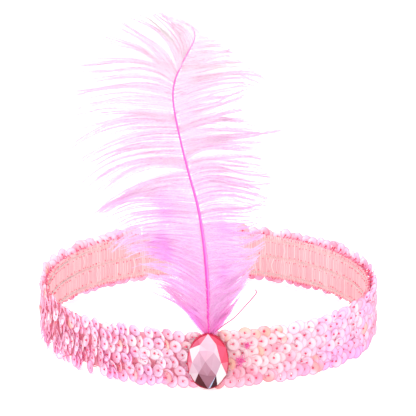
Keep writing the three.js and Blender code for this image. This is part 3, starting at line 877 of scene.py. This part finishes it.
RIGHT_STRANDS = [
    (-0.024, 0.17, 0.23, 54, 57),
    (-0.012, 0.22, 0.29, 54, 57),
    (0.0, 0.27, 0.35, 55, 57),
    (0.014, 0.29, 0.37, 56, 55),
    (0.03, 0.305, 0.35, 57, 52),
    (0.045, 0.32, 0.33, 57, 50),
    (0.065, 0.335, 0.3, 55, 48),
    (0.088, 0.35, 0.26, 50, 45),
    (0.112, 0.365, 0.22, 42, 42),
    (0.14, 0.385, 0.175, 32, 38),
    (0.165, 0.415, 0.13, 24, 35),
    (0.19, 0.44, 0.115, 18, 32),
    (0.22, 0.48, 0.08, 16, 30),
    (0.245, 0.5, 0.06, 15, 29),
    (0.27, 0.505, 0.035, 15, 28),
    (0.3, 0.475, 0.04, 13, 20),
    (0.33, 0.53, 0.0, 16, -8),
    (0.355, 0.58, 0.04, 24, 12),
    (0.38, 0.6, 0.01, 28, -15),
    (0.4, 0.65, -0.02, 28, -20),
    (0.42, 0.68, -0.045, 28, -10),
    (0.44, 0.67, -0.01, 28, 2),
    (0.46, 0.75, -0.04, 26, -8),
    (0.478, 0.7, -0.035, 28, 0),
    (0.494, 0.765, -0.02, 29, -2),
    (0.504, 0.76, 0.03, 15, -8),
    (0.513, 0.71, 0.09, 48, 5),
    (0.535, 0.82, 0.09, 24, 5),
    (0.558, 0.86, 0.1, 19, 9),
    (0.578, 0.73, 0.04, 23, -8),
    (0.594, 0.67, 0.055, 28, -10),
    (0.604, 0.63, 0.08, 31, -2),
    (0.612, 0.62, 0.22, 21, 25),
    (0.632, 0.6, 0.22, 22, 26),
    (0.65, 0.57, 0.18, 21, 27),
    (0.668, 0.645, 0.165, 25, 6),
    (0.688, 0.69, 0.15, 25, -4),
    (0.708, 0.76, 0.11, 21, -15),
    (0.728, 0.8, 0.075, 18, -22),
    (0.748, 0.74, 0.05, 12, -20),
    (0.768, 0.67, 0.04, 6, -18),
    (0.785, 0.58, 0.0, 5, -10),
    (0.8, 0.475, 0.06, 1, -20),
    (0.816, 0.475, 0.05, 4, -12),
    (0.835, 0.365, 0.04, 12, 4),
    (0.852, 0.37, 0.03, 14, 0),
    (0.87, 0.265, 0.01, 10, -5),
    (0.89, 0.18, -0.02, 8, -18),
    (0.912, 0.09, -0.035, -15, -35),
    (0.95, 0.05, -0.02, -10, -30),
    (1.0, 0.03, -0.02, 0, 0),
]


quill_points = catmull_rom(
    np.array([
        (side * PLUME_SIDE, QUILL_Y + lean * PLUME_LEAN, TRIM_HEIGHT + rise * PLUME_RISE)
        for rise, side, lean in QUILL_LINE
    ]),
    401,
)
quill_length = np.linalg.norm(np.diff(quill_points, axis=0), axis=1).sum()


def on_quill(share):
    """Points at shares of the quill's length above the band, where a share below 0 lies on its foot."""
    point = blend_rows(share, np.linspace(0, 1, len(quill_points)), quill_points)
    point[..., 2] += np.minimum(share, 0) * quill_length
    return point


def quill_radius(share):
    """The part's taper, a little fuller near the band and finer higher up."""
    taper = (QUILL_DIAMETER * (1 - share) ** 0.8 + QUILL_TIP_DIAMETER * (1 - (1 - share) ** 0.8)) / 2
    fuller = 1.15 - 0.35 * ease(0.1, 0.6, share)
    return taper * fuller * (1 - 0.65 * ease(0.86, 1.0, share))


# Tints of the quill by share of its length
QUILL_TINTS = [
    (0.0, (240, 40, 160)),
    (0.3, (242, 70, 176)),
    (0.75, (240, 96, 180)),
    (0.9, (244, 136, 192)),
    (0.96, (248, 200, 226)),
    (1.0, (248, 214, 232)),
]


# A painted highlight in a pale stripe along the quill's right face, by the sides of its section
QUILL_HIGHLIGHT = srgb(250, 148, 210)
HIGHLIGHT_SHARES = [0, 0, 0, 0, 0, 0, 0, 0.7, 1, 0, 0, 0]


def make_quill():
    share = np.linspace(0, 1, 90)
    line = on_quill(share)
    foot = line[:1] - np.array([[0, 0, QUILL_FOOT_LENGTH]])
    middle = line[:1] - np.array([[0, 0, QUILL_FOOT_LENGTH / 2]])
    path = np.concatenate([foot, middle, line])
    radius = np.concatenate([[0.45, 0.75], quill_radius(share)])
    points, faces = tube_mesh(path[None], radius[None], 12)
    along = np.concatenate([[0, 0], share]).repeat(12)
    tints = table_tint(QUILL_TINTS, along)
    # Painted highlight, fading out above the lower part of the quill
    highlight = np.tile(HIGHLIGHT_SHARES, len(path)) * ease(0.6, 0.2, along) * 0.6
    tints = tints * (1 - highlight[:, None]) + QUILL_HIGHLIGHT * highlight[:, None]
    material = tinted_material("quill_horn", 700, 0.12, Roughness=0.38, Coat_Weight=0.25)
    add_bump(material, 0.2, 0.0001)
    quill = make_piece("quill", points, faces, material, tints)
    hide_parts("ostrich_feather")


BARBS_PER_SIDE = 440
BARB_STATIONS = 22
BARB_ROOT_RADIUS = 0.12
BARB_TIP_RADIUS = 0.08
STRAND_STEP = 0.0075
FAN_SHARE = 0.38
BASE_BOOST = 0.6
ARC_BOOST = 0.35
TOP_THINNING = 0.6
LAST_BARB = 0.975
STRAND_PULL = 0.64
STRAND_WAVE = 0.7
BARB_WAVE = 0.3
STRAND_SWAY = 2.2
BARB_SWAY = 0.8
BARBULE_SPACING = 0.5
BARBULE_LENGTH = 3.4
BARBULE_WIDTH = 0.1
BARBULE_SLOPE = math.radians(25)
STRAYS_PER_SIDE = 34
LONE_BARB_RADIUS = 0.29
FOOT_FORWARD = 0.9
BASE_FORWARD = 1.5

# Tints up the quill, for the barbs' shafts and for the down along them
SHAFT_TINTS = [
    (-0.02, (246, 100, 206)),
    (0.04, (247, 164, 232)),
    (0.14, (245, 176, 238)),
    (0.4, (243, 184, 235)),
    (0.62, (243, 188, 231)),
    (0.8, (246, 202, 226)),
    (1.0, (247, 206, 226)),
]
DOWN_TINTS = [
    (-0.02, (250, 176, 233)),
    (0.02, (251, 220, 246)),
    (0.12, (250, 222, 246)),
    (0.3, (249, 228, 245)),
    (0.5, (249, 235, 245)),
    (0.7, (250, 238, 246)),
    (0.85, (250, 242, 248)),
    (1.0, (251, 238, 246)),
]
TIP_TINT = srgb(249, 222, 242)
LONE_TINT = srgb(228, 104, 162)
GREY_TINT = srgb(236, 235, 232)
PATCH_TINT = srgb(244, 164, 243)
GREY_FROM_SHARE = 0.7
GREY_TO_SHARE = 0.81
GREY_CHANCE = 0.15
GREY_STRENGTH = 0.7
PATCH_STRENGTH = 0.4
TIP_STRENGTH = 0.5


def all_strands(rows):
    """The strands of a vane: the named ones, and others worked out between those that lie well apart."""
    table = np.array(rows, float)
    strands = []
    for low, high in zip(table[:-1], table[1:]):
        parts = max(1, round((high[0] - low[0]) / STRAND_STEP))
        for part in range(parts):
            row = low + (high - low) * part / parts
            if part:
                row[1:3] += rng.normal(0, 0.014, 2)
                row[3:5] += rng.normal(0, (1.5, 4))
            strands.append(row)
    strands.append(table[-1])
    return np.array(strands)


def strand_curve(table, side, root_share, form_share, t):
    """Points at t along a barb rooted at one share of the quill, with the slopes and tip of another."""
    out, up, first, last = (np.interp(form_share, table[:, 0], table[:, c]) for c in range(1, 5))
    root = on_quill(root_share)
    reach = np.stack([side * out, 0 * out, up], -1) * BARB_REACH
    length = np.linalg.norm(reach, axis=-1)[:, None]
    first, last = np.radians(first), np.radians(last)
    leave = np.stack([side * np.cos(first), 0 * first, np.sin(first)], -1) * length * 0.38
    arrive = np.stack([side * np.cos(last), 0 * last, np.sin(last)], -1) * length * 0.38
    t = t[..., None]
    return (
        root[:, None]
        + 3 * t * (1 - t) ** 2 * leave[:, None]
        + 3 * t ** 2 * (1 - t) * (reach - arrive)[:, None]
        + t ** 3 * reach[:, None]
    )


def barb_tint(rows, share, t, points, grey):
    """Tints along barbs, paler to the tips, with deeper patches in the lower half and some grey strands."""
    colour = table_tint(rows, share)
    patch = (
        np.sin(points[..., 0] * 0.31 + 1.3) + np.sin(points[..., 2] * 0.27 + points[..., 0] * 0.11)
        + np.sin(points[..., 2] * 0.12 - points[..., 0] * 0.23 + 2.0)
    )
    patch = ease(0.1, 1.7, patch) * ease(0.5, 0.3, share)
    patch = (patch * ease(0.12, 0.35, t) * PATCH_STRENGTH)[..., None]
    colour = colour * (1 - patch) + PATCH_TINT * patch
    pale = (TIP_STRENGTH * ease(0.45, 1.0, t))[..., None]
    colour = colour * (1 - pale) + TIP_TINT * pale
    return colour * (1 - grey[..., None]) + GREY_TINT * grey[..., None]


def barb_shares(table, side):
    """Roots of the barbs, closer together where their tips fan out."""
    reach = np.stack([side * table[:, 1], 0 * table[:, 1], table[:, 2]], 1) * BARB_REACH
    fan = np.linalg.norm(np.diff(on_quill(table[:, 0]) + reach, axis=0), axis=1)
    step = np.diff(table[:, 0])
    crowd = FAN_SHARE * fan / fan.sum() + (1 - FAN_SHARE) * step / step.sum()
    root = table[1:, 0]
    crowd *= 1 + BASE_BOOST * ease(0.16, 0.02, root) - TOP_THINNING * ease(0.84, 0.94, root)
    if side < 0:
        crowd *= 1 + ARC_BOOST * ease(0.74, 0.76, root) * ease(0.84, 0.8, root)
    weight = np.concatenate([[0], np.cumsum(crowd)]) / crowd.sum()
    share = np.interp(np.linspace(0.001, 0.999, BARBS_PER_SIDE), weight, table[:, 0])
    share += rng.normal(0, 0.0009, BARBS_PER_SIDE)
    return np.sort(np.clip(share, table[0, 0], LAST_BARB))


def barb_paths(rows, side):
    """Middle lines of one vane's barbs, with their shares of the quill, places along and greyness."""
    table = all_strands(rows)
    share = barb_shares(np.array(rows), side)
    strand = np.abs(share[:, None] - table[:, 0]).argmin(1)
    centre = table[strand, 0]
    reach = np.clip(1.06 - rng.gamma(1.1, 0.09, BARBS_PER_SIDE), 0.45, 1.06)
    reach = np.where((side < 0) & (share > 0.7) & (share < 0.77), np.maximum(reach, 0.9), reach)
    t = np.linspace(0, 1, BARB_STATIONS)[None] * reach[:, None]
    own = strand_curve(table, side, share, centre + 0.7 * (share - centre), t)
    lock = strand_curve(table, side, centre, centre, t)
    hold = rng.uniform(0.2, 1.0, (len(share), 1))
    hold = hold * (0.1 + 0.9 * ease(0.03, 0.3, share)[:, None])
    pull = STRAND_PULL * ease(0.15, 0.7, t) * (1 - 0.3 * ease(0.78, 1.0, t)) * hold
    path = own + pull[..., None] * (lock - own)

    def wave(count, index, size):
        phase = rng.uniform(0, 2 * np.pi, (count, 1))[index]
        pace = rng.uniform(0.7, 1.7, (count, 1))[index]
        height = rng.uniform(0.3, 1.0, (count, 1))[index] * size
        return height * t * np.sin(2 * np.pi * pace * t + phase)

    every = np.arange(len(share))
    path[..., 2] += wave(len(table), strand, STRAND_WAVE) + wave(len(share), every, BARB_WAVE)
    path[..., 1] += wave(len(table), strand, STRAND_SWAY) + wave(len(share), every, BARB_SWAY)
    swing = rng.uniform(-0.7, 1.0, (len(table), 1))[strand] + rng.normal(0, 0.12, (len(share), 1))
    swing = swing * (1 - 0.9 * ease(0.76, 0.86, share)[:, None])
    path[..., 1] += BARB_SWING * swing * t ** 1.5
    above = ease(TRIM_HEIGHT - 0.5, TRIM_HEIGHT + 5, path[..., 2])
    forward = FOOT_FORWARD * (0.35 + 0.65 * ease(0, 0.15, t))
    forward = forward + BASE_FORWARD * above * ease(0.03, 0.35, t)
    path[..., 1] -= ease(0.14, -0.01, share)[:, None] * forward
    greyness = (rng.random(len(table)) < GREY_CHANCE)[strand]
    greyness = greyness * (share > GREY_FROM_SHARE) * (share < GREY_TO_SHARE)
    grey = greyness[:, None] * ease(0.3, 0.5, t) * GREY_STRENGTH
    return path, share, t, grey


def stray_paths(rows, side):
    """Single barbs that leave the strands and cross the gaps."""
    share = np.sort(rng.uniform(0.06, 0.82, STRAYS_PER_SIDE))
    t = np.repeat(np.linspace(0, 1, BARB_STATIONS)[None], STRAYS_PER_SIDE, 0)
    path = strand_curve(np.array(rows), side, share, share, t)
    bend = rng.normal(0, 3.0, (STRAYS_PER_SIDE, 1))
    path[..., 2] += bend * t ** 2 + 1.2 * t * np.sin(2 * np.pi * t * 1.2 + bend)
    path[..., 1] += rng.normal(0, 4, (STRAYS_PER_SIDE, 1)) * t ** 1.5
    return path, share, t, np.zeros_like(t)


def lone_barb():
    """The one long bare barb that stands off to the right of the base, with a hooked tip."""
    knots = np.array([
        (6.7, 4.4), (10.8, 7.4), (14.8, 11.7), (18.5, 16.0), (20.6, 18.6), (20.9, 19.9), (20.5, 20.6),
    ])
    line = np.stack([knots[:, 0], np.full(len(knots), QUILL_Y - 3.0), TRIM_HEIGHT + knots[:, 1] - 1.0], 1)
    path = catmull_rom(np.concatenate([on_quill(np.array([-0.02])), line]), BARB_STATIONS)[None]
    t = np.linspace(0, 1, BARB_STATIONS)[None]
    return path, np.array([0.3]), t, np.zeros_like(t)


def barbules(path, share, t, grey, fullness):
    """Fine slivers along both edges of each barb, as points, triangles and tints."""
    points, faces, tints = [], [], []
    first = 0
    sight = np.array([0, 1.0, 0])
    for k in range(len(path)):
        line = path[k]
        walked = np.concatenate([[0], np.cumsum(np.linalg.norm(np.diff(line, axis=0), axis=1))])
        if walked[-1] < 1.5:
            continue
        for side in (-1, 1):
            at = np.arange(rng.uniform(0.1, 0.5), walked[-1], BARBULE_SPACING)
            at = at + rng.normal(0, 0.1, len(at))
            root = blend_rows(at, walked, line)
            direction = unit(blend_rows(at + 0.6, walked, line) - blend_rows(at - 0.6, walked, line))
            along = np.interp(at, walked, t[k])
            across = unit(np.cross(direction, sight))
            spread = 1.25 - 0.97 * ease(0.2, 0.95, along)
            slope = (BARBULE_SLOPE * (0.55 + 0.42 * spread) + rng.normal(0, 0.1, len(at)))[:, None]
            depth = rng.normal(0, 0.3, (len(at), 1)) * sight
            start = unit(direction * np.cos(slope) + side * across * np.sin(slope) + depth)
            later = unit(direction * np.cos(slope * 0.4) + side * across * np.sin(slope * 0.4) + depth)
            length = BARBULE_LENGTH * fullness * spread * rng.uniform(0.6, 1.2, len(at))
            length = np.minimum(length, 1.2 + 2.2 * (walked[-1] - at))[:, None]
            middle = root + start * length * 0.5
            tip = middle + later * length * 0.5
            wide = unit(np.cross(start, sight)) * BARBULE_WIDTH / 2
            block = np.stack([root - wide, root + wide, middle - wide * 0.8, middle + wide * 0.8, tip], 1)
            base = first + 5 * np.arange(len(at))[:, None]
            faces.append(np.concatenate([
                base + np.array([[0, 1, 3]]), base + np.array([[0, 3, 2]]), base + np.array([[2, 3, 4]]),
            ]))
            points.append(block.reshape(-1, 3))
            first += block.shape[0] * 5
            pale = np.interp(at, walked, grey[k])
            colour = barb_tint(DOWN_TINTS, np.full(len(at), share[k]), along, root, pale)
            colour = colour * rng.uniform(0.94, 1.05, (len(at), 1))
            tints.append(np.repeat(colour, 5, 0))
    return np.concatenate(points), np.concatenate(faces), np.clip(np.concatenate(tints), 0, 1)


def barb_material(name, clearness):
    """Matt fibre that lets some light through."""
    material = tinted_material(name, 300, 0.05, Roughness=0.8, Sheen_Weight=0.15, Specular_IOR_Level=0.15)
    let_light_through(material, clearness)
    return material


# Fluff caught beside the stone: place to the right, height and how far it spreads
TUFTS = [(12.6, 12.2, 3.6), (15.6, 19.4, 2.2)]
TUFT_FIBRES = 90
TUFT_TINT = srgb(255, 72, 180)
TUFT_PALE = srgb(255, 196, 226)


def make_tufts():
    paths = []
    for right, height, reach in TUFTS:
        foot, _, normal = loop.frame(right / loop.length, TAPE_THICK + SEQUIN_OUT + 1.6, height)
        for _ in range(TUFT_FIBRES):
            turn = rng.uniform(0, 2 * math.pi)
            way = np.array([math.cos(turn), 0, math.sin(turn)]) * reach * rng.uniform(0.2, 0.7)
            curl = np.array([-way[2], 0, way[0]]) * rng.normal(0, 0.6)
            t = np.linspace(0, 1, 6)[:, None]
            start = foot + np.array([rng.normal(0, 0.18), 0, rng.normal(0, 0.26)]) * reach
            paths.append(start + way * t + curl * t * t + normal * (0.9 * t * (1 - t) + rng.uniform(0, 0.5)))
    points, faces = tube_mesh(np.array(paths), np.linspace(0.1, 0.05, 6), 3)
    material = barb_material("fluff", 0.3)
    pale = rng.uniform(0, 0.5, (len(paths), 1)).repeat(18, 0)
    tints = TUFT_TINT * (1 - pale) + TUFT_PALE * pale
    tufts = make_piece("fluff_tufts", points, faces, material, tints)
    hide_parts("ostrich_feather")


def make_vanes():
    shaft_material = barb_material("barb_shaft", 0.4)
    down_material = barb_material("barb_down", 0.58)
    for name, rows, side in (("left", LEFT_STRANDS, -1), ("right", RIGHT_STRANDS, 1)):
        sets = [("vane", barb_paths(rows, side), 1), ("stray", stray_paths(rows, side), 0.45)]
        if side > 0:
            sets.append(("lone", lone_barb(), 0.12))
        for kind, (path, share, t, grey), fullness in sets:
            taper = BARB_ROOT_RADIUS * (1 - t) + BARB_TIP_RADIUS * t
            if kind == "lone":
                taper = np.full_like(t, LONE_BARB_RADIUS)
            points, faces = tube_mesh(path, np.maximum(taper, BARB_TIP_RADIUS), 3)
            tints = barb_tint(SHAFT_TINTS, np.repeat(share[:, None], BARB_STATIONS, 1), t, path, grey)
            if kind == "lone":
                tints = np.broadcast_to(LONE_TINT, tints.shape)
            tints = tints.repeat(3, 1).reshape(-1, 3)
            shafts = make_piece(f"{kind}_barbs_{name}", points, faces, shaft_material, tints)
            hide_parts("ostrich_feather")
            points, faces, tints = barbules(path, share, t, grey, fullness)
            down = make_piece(f"{kind}_down_{name}", points, faces, down_material, tints)
            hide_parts("ostrich_feather")


make_camera()
make_floor()
make_lights()
tape = make_tape()
chain = make_chain()
dots = make_knots()
loose = make_loose_threads()
make_sequin_threads(make_sequins())
make_gem()
make_quill()
make_vanes()
make_tufts()
